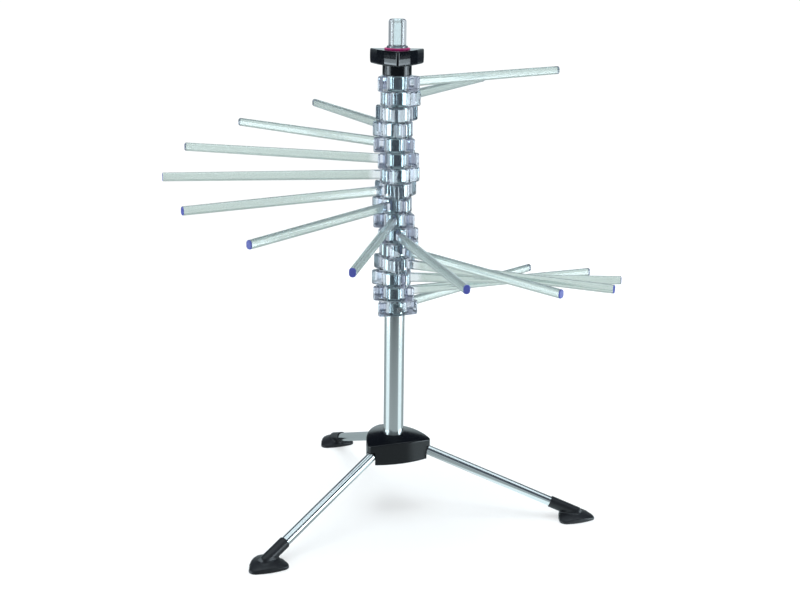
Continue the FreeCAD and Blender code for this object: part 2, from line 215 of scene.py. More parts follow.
plastic = {
    "ior": 1.585, "flowSize": 16.0, "rippleDepth": 0.1, "gloss": (0.01, 0.06), "barSoftness": 0.12,
    "ringEnd": 22.0, "barStart": 28.0, "ringTint": "#E2ECEC", "barTint": "#D2E1DA", "barClearness": 0.8,
    "toner": "#7C72F0", "tonerDensity": 6.0, "pipedLight": "#D8E9FF", "pipedStrength": 1.8,
    "endTint": "#4C5399", "endFlowSize": 3.0, "endGloss": (0.08, 0.2), "endShine": 0.15,
}


def clearPolycarbonate():
    # Injection-moulded clear polycarbonate. Bright, partly from a painted glow inside it, and faintly wavy
    # from the mould's flow, violet deep inside from the toner that hides yellowing. The bars have a
    # grey-green haze, the rings are clearer.
    material, tree, place = startMaterial("clearPolycarbonate")
    flow = addNode(tree, "ShaderNodeTexNoise", {"Scale": 1 / (plastic["flowSize"] * mm), "Detail": 2.0},
                   {"Vector": place})
    ripple = addNode(tree, "ShaderNodeBump", {"Strength": 0.05, "Distance": plastic["rippleDepth"] * mm},
                     {"Height": flow.outputs["Fac"]})
    gloss = addNode(tree, "ShaderNodeMapRange", span(0, 1, *plastic["gloss"]),
                    {"Value": flow.outputs["Fac"]})
    # distance from the column's axis tells the ring from the bar
    flat = addNode(tree, "ShaderNodeVectorMath", {"operation": "MULTIPLY", 1: (1, 1, 0)}, {0: place})
    outward = addNode(tree, "ShaderNodeVectorMath", {"operation": "LENGTH"}, {0: flat}).outputs["Value"]
    ringEnd, barStart = plastic["ringEnd"] * mm, plastic["barStart"] * mm
    bar = addNode(tree, "ShaderNodeMapRange", span(ringEnd, barStart, 0.0, 1.0), {"Value": outward})
    clearness = addNode(tree, "ShaderNodeMapRange", span(ringEnd, barStart, 1.0, plastic["barClearness"]),
                        {"Value": outward})
    tint = addNode(tree, "ShaderNodeMix",
                   {"data_type": "RGBA", 6: linear(plastic["ringTint"]), 7: linear(plastic["barTint"])},
                   {"Factor": bar})
    softened = addNode(tree, "ShaderNodeMath", {"operation": "MULTIPLY_ADD", 1: plastic["barSoftness"]},
                       {0: bar, 2: gloss})
    skin = addNode(tree, "ShaderNodeBsdfPrincipled", {"IOR": plastic["ior"]},
                   {"Base Color": tint.outputs[2], "Transmission Weight": clearness, "Roughness": softened,
                    "Normal": ripple})
    toner = addNode(tree, "ShaderNodeVolumeAbsorption",
                    {"Color": linear(plastic["toner"]), "Density": plastic["tonerDensity"]})
    # painted glow: light that runs along inside the plastic by more turns than a render follows
    piped = addNode(tree, "ShaderNodeEmission",
                    {"Color": linear(plastic["pipedLight"]), "Strength": plastic["pipedStrength"]})
    inside = addNode(tree, "ShaderNodeAddShader", {}, {0: toner, 1: piped})
    finishMaterial(tree, skin, inside)
    return material


def violetEnd():
    # End face of a clear bar. It shows the toner of the whole length behind it, so it looks violet blue.
    material, tree, place = startMaterial("violetEnd")
    flow = addNode(tree, "ShaderNodeTexNoise", {"Scale": 1 / (plastic["endFlowSize"] * mm), "Detail": 2.0},
                   {"Vector": place})
    gloss = addNode(tree, "ShaderNodeMapRange", span(0, 1, *plastic["endGloss"]),
                    {"Value": flow.outputs["Fac"]})
    skin = addNode(tree, "ShaderNodeBsdfPrincipled",
                   {"Base Color": linear(plastic["endTint"]), "IOR": plastic["ior"],
                    "Specular IOR Level": plastic["endShine"]}, {"Roughness": gloss})
    finishMaterial(tree, skin)
    return material


def drawnAluminium():
    # Drawn tube, bright anodised: mirror-like, with faint lines along its length.
    # The lines are about 0.05 mm apart on the real tube and are drawn at 0.4 mm so that they show.
    material, tree, place = startMaterial("drawnAluminium", "UV")
    lines = addNode(tree, "ShaderNodeMapping", {"Scale": (1 / (0.4 * mm), 1 / (120 * mm), 1)},
                    {"Vector": place})
    drawn = addNode(tree, "ShaderNodeTexNoise", {"Scale": 1.0, "Detail": 3.0}, {"Vector": lines.outputs[0]})
    gloss = addNode(tree, "ShaderNodeMapRange", {"To Min": 0.08, "To Max": 0.2},
                    {"Value": drawn.outputs["Fac"]})
    relief = addNode(tree, "ShaderNodeBump", {"Strength": 0.05, "Distance": 0.02 * mm},
                     {"Height": drawn.outputs["Fac"]})
    skin = addNode(tree, "ShaderNodeBsdfPrincipled",
                   {"Base Color": linear("#E3E6E5"), "Metallic": 1.0},
                   {"Roughness": gloss.outputs["Result"], "Normal": relief.outputs["Normal"]})
    finishMaterial(tree, skin)
    return material


def glossBlackPlastic():
    # Polished black ABS. Deep black with sharp highlights that waver a little, as moulded faces do.
    material, tree, place = startMaterial("glossBlackPlastic")
    waver = addNode(tree, "ShaderNodeTexNoise", {"Scale": 1 / (9 * mm), "Detail": 3.0}, {"Vector": place})
    gloss = addNode(tree, "ShaderNodeMapRange", {"To Min": 0.1, "To Max": 0.2},
                    {"Value": waver.outputs["Fac"]})
    relief = addNode(tree, "ShaderNodeBump", {"Strength": 0.1, "Distance": 0.05 * mm},
                     {"Height": waver.outputs["Fac"]})
    skin = addNode(tree, "ShaderNodeBsdfPrincipled", {"Base Color": linear("#06080B"), "IOR": 1.53},
                   {"Roughness": gloss.outputs["Result"], "Normal": relief.outputs["Normal"]})
    finishMaterial(tree, skin)
    return material


def satinBlackPlastic():
    # Black polypropylene from a fine spark-eroded mould: a soft sheen, bluish where it catches light.
    # The mould's grit is 0.1 mm and is drawn at 0.5 mm so that it shows.
    material, tree, place = startMaterial("satinBlackPlastic")
    grit = addNode(tree, "ShaderNodeTexNoise", {"Scale": 1 / (0.5 * mm), "Detail": 2.0}, {"Vector": place})
    gloss = addNode(tree, "ShaderNodeMapRange", {"To Min": 0.3, "To Max": 0.5},
                    {"Value": grit.outputs["Fac"]})
    relief = addNode(tree, "ShaderNodeBump", {"Strength": 0.25, "Distance": 0.05 * mm},
                     {"Height": grit.outputs["Fac"]})
    skin = addNode(tree, "ShaderNodeBsdfPrincipled", {"Base Color": linear("#15171B"), "IOR": 1.49},
                   {"Roughness": gloss.outputs["Result"], "Normal": relief.outputs["Normal"]})
    finishMaterial(tree, skin)
    return material


def raspberrySilicone():
    # Moulded silicone rubber: strong colour, matt skin with a dusty sheen.
    material, tree, place = startMaterial("raspberrySilicone")
    dust = addNode(tree, "ShaderNodeTexNoise", {"Scale": 1 / (1.5 * mm), "Detail": 4.0}, {"Vector": place})
    gloss = addNode(tree, "ShaderNodeMapRange", {"To Min": 0.35, "To Max": 0.6},
                    {"Value": dust.outputs["Fac"]})
    skin = addNode(tree, "ShaderNodeBsdfPrincipled",
                   {"Base Color": linear("#B00C6C"), "IOR": 1.41, "Sheen Weight": 0.2},
                   {"Roughness": gloss.outputs["Result"]})
    finishMaterial(tree, skin)
    return material


def zincPlatedSteel():
    # Bright zinc plate on turned steel: grey mirror with cloudy roughness.
    material, tree, place = startMaterial("zincPlatedSteel")
    cloud = addNode(tree, "ShaderNodeTexNoise", {"Scale": 1 / (2 * mm), "Detail": 3.0}, {"Vector": place})
    gloss = addNode(tree, "ShaderNodeMapRange", {"To Min": 0.18, "To Max": 0.36},
                    {"Value": cloud.outputs["Fac"]})
    skin = addNode(tree, "ShaderNodeBsdfPrincipled",
                   {"Base Color": linear("#BFC2C4"), "Metallic": 1.0},
                   {"Roughness": gloss.outputs["Result"]})
    finishMaterial(tree, skin)
    return material


clear = clearPolycarbonate()
endFace = violetEnd()
aluminium = drawnAluminium()
glossBlack = glossBlackPlastic()
satinBlack = satinBlackPlastic()
raspberry = raspberrySilicone()
steel = zincPlatedSteel()
print("materials made")


# Arms: a ring with three lugs and a tapered bar, sixteen times up the column
arm = {
    "count": 16, "step": 24.5, "topAzimuth": 40.5, "reach": 220.8, "rootStart": 13.0,
    "rootSize": (7.2, 9.2), "tipSize": (6.2, 8.2), "edgeRound": 2.9, "endRound": 1.0,
    "ringRadius": 15.6, "ringHeight": 14.3, "bore": 10.08, "ringEdge": 1.7,
    "lugReach": 22.55, "lugTip": 3.0, "lugFlank": 53.0, "lugAzimuths": (60, 180, 300),
    "keyRadii": (11.6, 14.0), "keyHeight": 2.0, "keySweep": 30.0, "keyCentre": 167.75,
    "pocketPlay": 0.3, "pocketDepth": 2.3, "pocketEndPlay": 1.0,
    "keyRoot": 0.5, "screwAzimuth": 240.0, "screwRadius": 1.55, "screwStart": 5.0, "screwSeat": 15.2,
    "screwHeadHole": 3.05, "screwEnd": 30.0,
}


def ringBlock():
    # each lug is a wedge: two flanks that meet the ring's circle, with a round tip
    flank = math.radians(arm["lugFlank"])
    flankDistance = (arm["lugReach"] - arm["lugTip"]) * math.cos(flank) + arm["lugTip"]
    root = arm["lugFlank"] - math.degrees(math.acos(flankDistance / arm["ringRadius"]))
    bm = bmesh.new()
    outline, tips = [], []
    for azimuth in arm["lugAzimuths"]:
        tips.append(bm.verts.new(polar(flankDistance / math.cos(flank), azimuth)))
        outline.append(tips[-1])
        for point in arcPoints(arm["ringRadius"], azimuth + root, 120 - 2 * root, 12):
            outline.append(bm.verts.new(point))
    bm.faces.new(outline)
    roundCorners(bm, tips, arm["lugTip"] * math.tan(flank), 8)
    extrudeUp(bm, arm["ringHeight"])
    rims = edgesAtHeight(bm, 0) + edgesAtHeight(bm, arm["ringHeight"])
    roundEdges(bm, rims, arm["ringEdge"], 6)
    return bm


def barBlock():
    # block along +X, drawn in towards its tip, with well rounded long edges and an eased end
    bm = bmesh.new()
    rootWidth, rootHeight = arm["rootSize"]
    middle = arm["ringHeight"] / 2
    bmesh.ops.create_cube(bm, size=1)
    bmesh.ops.scale(bm, vec=(arm["reach"] - arm["rootStart"], rootWidth, rootHeight), verts=bm.verts[:])
    tip = [vert for vert in bm.verts if vert.co.x > 0]
    bmesh.ops.scale(bm, vec=(1, arm["tipSize"][0] / rootWidth, arm["tipSize"][1] / rootHeight), verts=tip)
    bmesh.ops.translate(bm, vec=((arm["reach"] + arm["rootStart"]) / 2, 0, middle), verts=bm.verts[:])
    longEdges = [edge for edge in bm.edges if edge.calc_length() > arm["reach"] / 2]
    roundEdges(bm, longEdges, arm["edgeRound"], 10)
    tipEdges = [edge for edge in bm.edges if all(vert.co.x > arm["reach"] - 0.01 for vert in edge.verts)]
    roundEdges(bm, tipEdges, arm["endRound"], 4)
    return bm


def arcBlock(inner, outer, bottom, height, start, sweep):
    # part of a flat ring, such as a stop key or the pocket that it runs in
    outline = arcPoints(outer, start, sweep, 16) + arcPoints(inner, start + sweep, -sweep, 16)
    return extrudeUp(flatFace(outline, bottom), height)


def rodBlock(radius, start, end, sides=32):
    return layOnX(lathe([(0, start, 0), (radius, start, 0), (radius, end, 0), (0, end, 0)], sides))


def armBlock(level):
    inner, outer = arm["keyRadii"]
    keyStart = arm["keyCentre"] - arm["keySweep"] / 2
    tools = [("UNION", barBlock())]
    if level > 1:
        tools.append(("UNION", arcBlock(inner, outer, arm["ringHeight"] - arm["keyRoot"],
                                        arm["keyHeight"] + arm["keyRoot"], keyStart, arm["keySweep"])))
    if level < arm["count"]:
        play, ends = arm["pocketPlay"], arm["pocketEndPlay"]
        tools.append(("DIFFERENCE", arcBlock(inner - play, outer + play, -overcut,
                                             arm["pocketDepth"] + overcut, keyStart - ends,
                                             arm["keySweep"] + arm["step"] + 2 * ends)))
    top = arm["ringHeight"] + 2 * arm["keyHeight"]
    bore = [(0, -overcut, 0), (arm["bore"], -overcut, 0), (arm["bore"], top, 0), (0, top, 0)]
    tools.append(("DIFFERENCE", lathe(bore)))
    if level == arm["count"]:
        for radius, start in ((arm["screwRadius"], arm["screwStart"]),
                              (arm["screwHeadHole"], arm["screwSeat"])):
            hole = rodBlock(radius, start, arm["screwEnd"])
            turn = Matrix.Rotation(math.radians(arm["screwAzimuth"]), 4, "Z")
            lift = Matrix.Translation((0, 0, arm["ringHeight"] / 2))
            bmesh.ops.transform(hole, matrix=lift @ turn, verts=hole.verts[:])
            tools.append(("DIFFERENCE", hole))
    bm = combine(ringBlock(), tools)
    # the end of the bar takes the second material
    for face in bm.faces:
        face.material_index = int(face.calc_center_median().x > arm["reach"] - arm["endRound"] / 2)
    return bm


def buildArms():
    middleArm = armBlock(2)
    for level in range(1, arm["count"] + 1):
        node = "arm_%02d" % level
        bm = middleArm.copy() if 1 < level < arm["count"] else armBlock(level)
        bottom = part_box(node)[0].z / mm
        turn = Matrix.Rotation(math.radians(arm["topAzimuth"] + (level - 1) * arm["step"]), 4, "Z")
        body = "stand" if level == arm["count"] else node
        piece = finishPiece(bm, "clearArm%02d" % level, node, body, clear,
                            Matrix.Translation((0, 0, bottom)) @ turn)
        piece.data.materials.append(endFace)
    middleArm.free()


buildArms()
print("arms built")


# Legs start from a frame with the hinge pin at the origin and the tube along +X
leg = {"azimuths": {"front": 231.2, "right": 351.2, "back": 111.2}, "slope": 20.5,
       "pivotRadius": 27.0, "pivotHeight": 65.4}


def legTilt():
    # from the leg's own frame to a leg that points along +X
    lift = Matrix.Translation((leg["pivotRadius"], 0, leg["pivotHeight"]))
    return lift @ Matrix.Rotation(math.radians(leg["slope"]), 4, "Y")


def legPlace(azimuth):
    return Matrix.Rotation(math.radians(azimuth), 4, "Z") @ legTilt()


# Tubes: column and legs
tube = {"columnRadius": 10.0, "columnWall": 1.0, "legRadius": 4.8, "legWall": 1.0, "endRound": 0.2,
        "legStart": 8.5, "legEnd": 163.0}


def alongTubeMap(bm, radius):
    # u runs round the tube and v along it, both in metres
    layer = bm.loops.layers.uv.new("alongTube")
    for face in bm.faces:
        centre = face.calc_center_median()
        middle = math.atan2(centre.y, centre.x)
        for loop in face.loops:
            turn = math.atan2(loop.vert.co.y, loop.vert.co.x)
            turn += 2 * math.pi * round((middle - turn) / (2 * math.pi))
            loop[layer].uv = (turn * radius * mm, loop.vert.co.z * mm)


def tubeBlock(radius, wall, start, end):
    ease = tube["endRound"]
    bm = lathe([(radius - wall, start, ease), (radius, start, ease), (radius, end, ease),
                (radius - wall, end, ease)], 128)
    alongTubeMap(bm, radius)
    return bm


def buildTubes():
    low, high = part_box("column_tube")
    column = tubeBlock(tube["columnRadius"], tube["columnWall"], low.z / mm, high.z / mm)
    finishPiece(column, "columnTube", "column_tube", "stand", aluminium)
    for side, azimuth in leg["azimuths"].items():
        bm = layOnX(tubeBlock(tube["legRadius"], tube["legWall"], tube["legStart"], tube["legEnd"]))
        finishPiece(bm, "legTube" + side.title(), "leg_tube_" + side, "leg_" + side,
                    aluminium, legPlace(azimuth))


buildTubes()
print("tubes built")


# Knob, seal and wand on the column's top
wand = {"flangeRadius": 10.0, "flangeBottom": 461.1, "flangeTop": 463.0, "gripRadius": 8.4, "top": 487.7,
        "gripRound": 3.0, "gripFoot": 0.5, "flangeRound": 0.6, "flangeEdge": 0.4, "rodRadius": 4.6,
        "rodRound": 0.6, "tip": 221.0, "tipRound": 0.5, "bore": 3.8, "boreTop": 486.5, "boreRound": 2.8}
seal = {"inner": 9.0, "outer": 12.2, "bottom": 458.8, "top": 461.0, "upperRound": 0.7, "lowerRound": 0.2}
knob = {
    "pointAzimuths": (31, 151, 271), "pointReach": 29.2, "pointRound": 2.3, "flank": 52.0, "eave": 39.1,
    "eaveRound": 10.0, "bottom": 436.0, "neckRadius": 13.9, "neckRound": 0.4, "neckTop": 449.4,
    "headBottom": 445.4, "top": 459.4, "lowerRound": 1.8, "upperRound": 1.0,
    "belly": (0.985, 0.996, 1.0, 0.998, 0.992),
    "counterbore": 10.4, "counterboreTop": 442.8, "threadBore": 8.98, "sealSeat": 12.25, "sealBottom": 458.8,
}


def buildWand():
    bm = lathe([
        (wand["bore"], wand["tip"], 0),
        (wand["rodRadius"], wand["tip"], wand["tipRound"]),
        (wand["rodRadius"], wand["flangeBottom"], wand["rodRound"]),
        (wand["flangeRadius"], wand["flangeBottom"], wand["flangeEdge"]),
        (wand["flangeRadius"], wand["flangeTop"], wand["flangeRound"]),
        (wand["gripRadius"], wand["flangeTop"], wand["gripFoot"]),
        (wand["gripRadius"], wand["top"], wand["gripRound"]),
        (0, wand["top"], 0),
        (0, wand["boreTop"], 0),
        (wand["bore"], wand["boreTop"], wand["boreRound"]),
    ])
    finishPiece(bm, "pastaWand", "pasta_wand", "wand", clear)


def buildSeal():
    bm = lathe([
        (seal["inner"], seal["bottom"], seal["lowerRound"]),
        (seal["outer"], seal["bottom"], seal["lowerRound"]),
        (seal["outer"], seal["top"], seal["upperRound"]),
        (seal["inner"], seal["top"], seal["upperRound"]),
    ])
    finishPiece(bm, "sealRing", "seal_ring", "seal", raspberry)


def knobHead():
    # three points, each with two flanks that end in eaves, and walls that swell a little at mid-height
    flank = math.radians(knob["flank"])
    flankDistance = (knob["pointReach"] - knob["pointRound"]) * math.cos(flank) + knob["pointRound"]
    eaveRadius = flankDistance / math.cos(flank - math.radians(knob["eave"]))
    eaveTurn = math.radians(60 - knob["flank"]) / 2
    bm = bmesh.new()
    points, eaves = [], []
    outline = []
    for azimuth in knob["pointAzimuths"]:
        eaves.append(bm.verts.new(polar(eaveRadius, azimuth - knob["eave"])))
        points.append(bm.verts.new(polar(flankDistance / math.cos(flank), azimuth)))
        outline += [eaves[-1], points[-1]]
        eaves.append(bm.verts.new(polar(eaveRadius, azimuth + knob["eave"])))
        outline.append(eaves[-1])
    bm.faces.new(outline)
    roundCorners(bm, points, knob["pointRound"] * math.tan(flank), 8)
    roundCorners(bm, eaves, knob["eaveRound"] * math.tan(eaveTurn), 3)
    belly = knob["belly"]
    rise = (knob["top"] - knob["headBottom"]) / (len(belly) - 1)
    bmesh.ops.translate(bm, vec=(0, 0, knob["headBottom"]), verts=bm.verts[:])
    layer = bm.faces[:]
    for level in range(1, len(belly)):
        grown = bmesh.ops.extrude_face_region(bm, geom=layer, use_keep_orig=level == 1)
        verts = [item for item in grown["geom"] if isinstance(item, bmesh.types.BMVert)]
        layer = [item for item in grown["geom"] if isinstance(item, bmesh.types.BMFace)]
        bmesh.ops.translate(bm, vec=(0, 0, rise), verts=verts)
    for vert in bm.verts:
        level = round((vert.co.z - knob["headBottom"]) / rise)
        vert.co.x *= belly[level]
        vert.co.y *= belly[level]
    bmesh.ops.recalc_face_normals(bm, faces=bm.faces[:])
    roundEdges(bm, edgesAtHeight(bm, knob["headBottom"]), knob["lowerRound"], 5)
    roundEdges(bm, edgesAtHeight(bm, knob["top"]), knob["upperRound"], 4)
    return bm


def buildKnob():
    low, high = knob["bottom"] - overcut, knob["top"] + overcut
    neck = lathe([(0, knob["bottom"], 0), (knob["neckRadius"], knob["bottom"], knob["neckRound"]),
                  (knob["neckRadius"], knob["neckTop"], 0), (0, knob["neckTop"], 0)])
    thread = lathe([(0, low, 0), (knob["counterbore"], low, 0),
                    (knob["counterbore"], knob["counterboreTop"], 0),
                    (knob["threadBore"], knob["counterboreTop"], 0),
                    (knob["threadBore"], high, 0), (0, high, 0)])
    seat = lathe([(0, knob["sealBottom"], 0), (knob["sealSeat"], knob["sealBottom"], 0),
                  (knob["sealSeat"], high, 0), (0, high, 0)])
    bm = combine(knobHead(), [("UNION", neck), ("DIFFERENCE", thread), ("DIFFERENCE", seat)])
    finishPiece(bm, "clampKnob", "clamp_knob", "knob", glossBlack, sharpAngle=35)


buildWand()
buildSeal()
buildKnob()
print("knob, seal and wand built")


# Tripod: hub, feet and the small pieces that stay as they are
hub = {
    "middle": 26.5, "sideRadius": 84.0, "corner": 6.0, "bottom": 54.7, "rimHeight": 76.5,
    "domeRadius": 140.0, "rimRound": 1.0, "columnHole": 10.05, "columnSeat": 60.7, "wall": 3.2,
    "coverCorner": 4.0, "coverTop": 56.7, "coverOverlap": 0.5, "roof": 71.0, "bossRadius": 14.0,
    "cheekStart": 21.5, "cheekHalf": 8.6, "slotHalf": 5.1, "slotRoof": 5.05, "slotReach": 60.0,
    "screwBossRadius": 3.4, "screwCircle": 19.0, "screwHole": 1.2, "screwHoleTop": 62.5,
    "pinHole": 1.55, "boltHole": 2.55, "boltHead": 4.55, "boltSeat": 58.8,
}
foot = {
    "sleeveRadius": 5.8, "sleeveStart": 141.6, "sleeveEnd": 174.0, "lipRound": 0.4, "endRound": 2.6,
    "centre": 183.9, "middle": 15.2, "sideRadius": 60.0, "corner": 7.5, "height": 7.0, "crownRadius": 52.0,
    "rimRound": 1.2, "soleRound": 0.7, "bore": 4.85, "boreEnd": 163.0,
    "boreLead": 5.0, "crownHole": 2.0, "plugRadius": 3.0, "plugSunk": 0.5,
    "underLow": (100, -50, -50), "underHigh": (250, 50, 0),
    "voxel": 0.45, "skinPasses": 3, "blendReach": 3.5, "blendPasses": 45,
}


def roundedTriangle(middle, sideRadius, corner, steps):
    # three bowed sides and three round corners, one of them on +X
    offset = sideRadius - middle
    tip = (math.sqrt(4 * sideRadius ** 2 - 3 * offset ** 2) - offset) / 2
    half = math.degrees(math.asin(tip * math.sqrt(0.75) / sideRadius))
    bm = bmesh.new()
    outline, tips = [], []
    for azimuth in (60, 180, 300):
        centre = polar(offset, azimuth + 180)
        bow = arcPoints(sideRadius, azimuth - half, 2 * half, steps)[:-1]
        side = [bm.verts.new(centre + point) for point in bow]
        tips.append(side[0])
        outline += side
    bm.faces.new(outline)
    roundCorners(bm, tips, corner * math.tan(math.radians(60 - half)), 8)
    return bm


def domedBlock(outline, bottom, domeTop, domeRadius, rimRound, hole, holeBottom):
    # the outline's wall under a shallow dome, with a blind hole down its middle
    bm = outline
    bmesh.ops.delete(bm, geom=bm.faces[:], context="FACES_ONLY")
    rim = bm.edges[:]
    bmesh.ops.create_circle(bm, cap_ends=False, radius=hole, segments=len(rim))
    bridged = bmesh.ops.bridge_loops(bm, edges=bm.edges[:])
    bmesh.ops.subdivide_edges(bm, edges=bridged["edges"], cuts=9)
    for vert in bm.verts:
        vert.co.z = domeTop - domeRadius + math.sqrt(domeRadius ** 2 - vert.co.x ** 2 - vert.co.y ** 2)
    bmesh.ops.recalc_face_normals(bm, faces=bm.faces[:])
    edges = [edge for edge in bm.edges if edge.is_boundary]
    outer = [edge for edge in edges if edge.verts[0].co.xy.length > hole + 0.1]
    inner = [edge for edge in edges if edge.verts[0].co.xy.length < hole + 0.1]
    for loop, height in ((outer, bottom), (inner, holeBottom)):
        grown = bmesh.ops.extrude_edge_only(bm, edges=loop)
        for item in grown["geom"]:
            if isinstance(item, bmesh.types.BMVert):
                item.co.z = height
        end = [item for item in grown["geom"] if isinstance(item, bmesh.types.BMEdge)]
        bmesh.ops.contextual_create(bm, geom=end)
    bmesh.ops.recalc_face_normals(bm, faces=bm.faces[:])
    roundEdges(bm, outer, rimRound, 5)
    return bm


def boxBlock(low, high):
    bm = bmesh.new()
    low, high = Vector(low), Vector(high)
    bmesh.ops.create_cube(bm, size=1)
    bmesh.ops.scale(bm, vec=high - low, verts=bm.verts[:])
    bmesh.ops.translate(bm, vec=(low + high) / 2, verts=bm.verts[:])
    return bm


def movedBlock(bm, place):
    bmesh.ops.transform(bm, matrix=place, verts=bm.verts[:])
    return bm


def pegBlock(radius, bottom, top, distance=0.0):
    # upright round tool at a distance along +X
    bm = lathe([(0, bottom, 0), (radius, bottom, 0), (radius, top, 0), (0, top, 0)], 48)
    return movedBlock(bm, Matrix.Translation((distance, 0, 0)))


def hubInset(inset, corner, bottom, top):
    bm = roundedTriangle(hub["middle"] - inset, hub["sideRadius"] - inset, corner, 12)
    return movedBlock(extrudeUp(bm, top - bottom), Matrix.Translation((0, 0, bottom)))


def legSlot():
    # room for a leg, open below and outward, under a sloping roof
    reach, half, roof = hub["slotReach"], hub["slotHalf"], hub["slotRoof"]
    bm = boxBlock((-reach, -half, roof - reach), (reach, half, roof))
    movedBlock(bm, legTilt())
    cut = bmesh.ops.bisect_plane(bm, geom=bm.verts[:] + bm.edges[:] + bm.faces[:],
                                 plane_co=(hub["cheekStart"], 0, 0), plane_no=(1, 0, 0), clear_inner=True)
    rim = [item for item in cut["geom_cut"] if isinstance(item, bmesh.types.BMEdge)]
    bmesh.ops.contextual_create(bm, geom=rim)
    bmesh.ops.recalc_face_normals(bm, faces=bm.faces[:])
    return bm


def pinSaddle():
    # keyhole that the hinge pin is pushed up into
    half, radius = hub["cheekHalf"], hub["pinHole"]
    pin = lathe([(0, -half, 0), (radius, -half, 0), (radius, half, 0), (0, half, 0)], 24)
    movedBlock(pin, Matrix.Translation((leg["pivotRadius"], 0, leg["pivotHeight"]))
               @ Matrix.Rotation(math.pi / 2, 4, "X"))
    slit = boxBlock((leg["pivotRadius"] - radius, -half, hub["bottom"] - overcut),
                    (leg["pivotRadius"] + radius, half, leg["pivotHeight"]))
    return combine(pin, [("UNION", slit)])


def hubCavity():
    # the hollow under the roof, round the column's boss, the hinge cheeks and the screw bosses
    low, high = hub["coverTop"] - hub["coverOverlap"], hub["roof"]
    under, over = low - overcut, high + overcut
    tools = [("DIFFERENCE", pegBlock(hub["bossRadius"], under, over))]
    for azimuth in (0, 120, 240):
        cheek = boxBlock((hub["cheekStart"], -hub["cheekHalf"], under),
                         (hub["slotReach"], hub["cheekHalf"], over))
        boss = pegBlock(hub["screwBossRadius"], under, over, hub["screwCircle"])
        tools.append(("DIFFERENCE", movedBlock(cheek, Matrix.Rotation(math.radians(azimuth), 4, "Z"))))
        tools.append(("DIFFERENCE", movedBlock(boss, Matrix.Rotation(math.radians(azimuth + 60), 4, "Z"))))
    return combine(hubInset(hub["wall"], hub["coverCorner"], low, high), tools)


def buildHub():
    domeTop = hub["rimHeight"] - math.sqrt(hub["domeRadius"] ** 2 - hub["middle"] ** 2) + hub["domeRadius"]
    outline = roundedTriangle(hub["middle"], hub["sideRadius"], hub["corner"], 12)
    shell = domedBlock(outline, hub["bottom"], domeTop, hub["domeRadius"], hub["rimRound"],
                       hub["columnHole"], hub["columnSeat"])
    low = hub["bottom"] - overcut
    tools = [("DIFFERENCE", hubInset(hub["wall"], hub["coverCorner"], low, hub["coverTop"])),
             ("DIFFERENCE", hubCavity()),
             ("DIFFERENCE", pegBlock(hub["boltHole"], low, hub["columnSeat"] + overcut)),
             ("DIFFERENCE", pegBlock(hub["boltHead"], low, hub["boltSeat"]))]
    for azimuth in (0, 120, 240):
        turn = Matrix.Rotation(math.radians(azimuth), 4, "Z")
        sideTurn = Matrix.Rotation(math.radians(azimuth + 60), 4, "Z")
        hole = pegBlock(hub["screwHole"], low, hub["screwHoleTop"], hub["screwCircle"])
        tools.append(("DIFFERENCE", movedBlock(legSlot(), turn)))
        tools.append(("DIFFERENCE", movedBlock(pinSaddle(), turn)))
        tools.append(("DIFFERENCE", movedBlock(hole, sideTurn)))
    bm = combine(shell, tools)
    turn = Matrix.Rotation(math.radians(leg["azimuths"]["front"]), 4, "Z")
    finishPiece(bm, "tripodHub", "tripod_hub", "stand", glossBlack, turn, 30)


def remeshed(bm, voxel):
    # the block again as one even skin of small squares
    blank = toObject(bm, "blank")
    skin = blank.modifiers.new("skin", "REMESH")
    skin.mode = "VOXEL"
    skin.voxel_size = voxel
    bpy.context.view_layer.update()
    shaped = blank.evaluated_get(bpy.context.evaluated_depsgraph_get())
    even = bmesh.new()
    even.from_mesh(shaped.to_mesh())
    shaped.to_mesh_clear()
    dropObject(blank)
    return even


def footBlock():
    # crowned pad and sleeve in one moulding, with a hollow blend where they meet
    outline = roundedTriangle(foot["middle"], foot["sideRadius"], foot["corner"], 6)
    pad = domedBlock(outline, 0, foot["height"], foot["crownRadius"], foot["rimRound"], foot["crownHole"],
                     foot["height"] / 2)
    movedBlock(pad, Matrix.Translation((foot["centre"], 0, 0)))
    roundEdges(pad, edgesAtHeight(pad, 0), foot["soleRound"], 3)
    sleeve = layOnX(lathe([
        (0, foot["sleeveStart"], 0),
        (foot["sleeveRadius"], foot["sleeveStart"], foot["lipRound"]),
        (foot["sleeveRadius"], foot["sleeveEnd"], foot["endRound"]),
        (0, foot["sleeveEnd"], 0),
    ], 64))
    movedBlock(sleeve, legTilt())
    under = boxBlock(foot["underLow"], foot["underHigh"])
    plug = pegBlock(foot["plugRadius"], foot["height"] / 2 - overcut, foot["height"] - foot["plugSunk"],
                    foot["centre"])
    bm = combine(pad, [("UNION", plug), ("UNION", sleeve), ("DIFFERENCE", under)])
    bm = remeshed(bm, foot["voxel"])
    axisStart = legTilt() @ Vector((0, 0, 0))
    axisWay = legTilt().to_3x3() @ Vector((1, 0, 0))
    crownCentre = Vector((foot["centre"], 0, foot["height"] - foot["crownRadius"]))
    blend = []
    for vert in bm.verts:
        fromSleeve = (vert.co - axisStart).cross(axisWay).length - foot["sleeveRadius"]
        fromCrown = (vert.co - crownCentre).length - foot["crownRadius"]
        if max(abs(fromSleeve), abs(fromCrown)) < foot["blendReach"] and vert.co.z > 2 * foot["soleRound"]:
            blend.append(vert)
    above = [vert for vert in bm.verts if vert.co.z > foot["soleRound"]]
    for passes, verts in ((foot["skinPasses"], above), (foot["blendPasses"], blend)):
        for step in range(passes):
            bmesh.ops.smooth_vert(bm, verts=verts, factor=0.5, use_axis_x=True, use_axis_y=True,
                                  use_axis_z=True)
    bore = rodBlock(foot["bore"], foot["sleeveStart"] - foot["boreLead"], foot["boreEnd"])
    return combine(bm, [("DIFFERENCE", movedBlock(bore, legTilt()))])


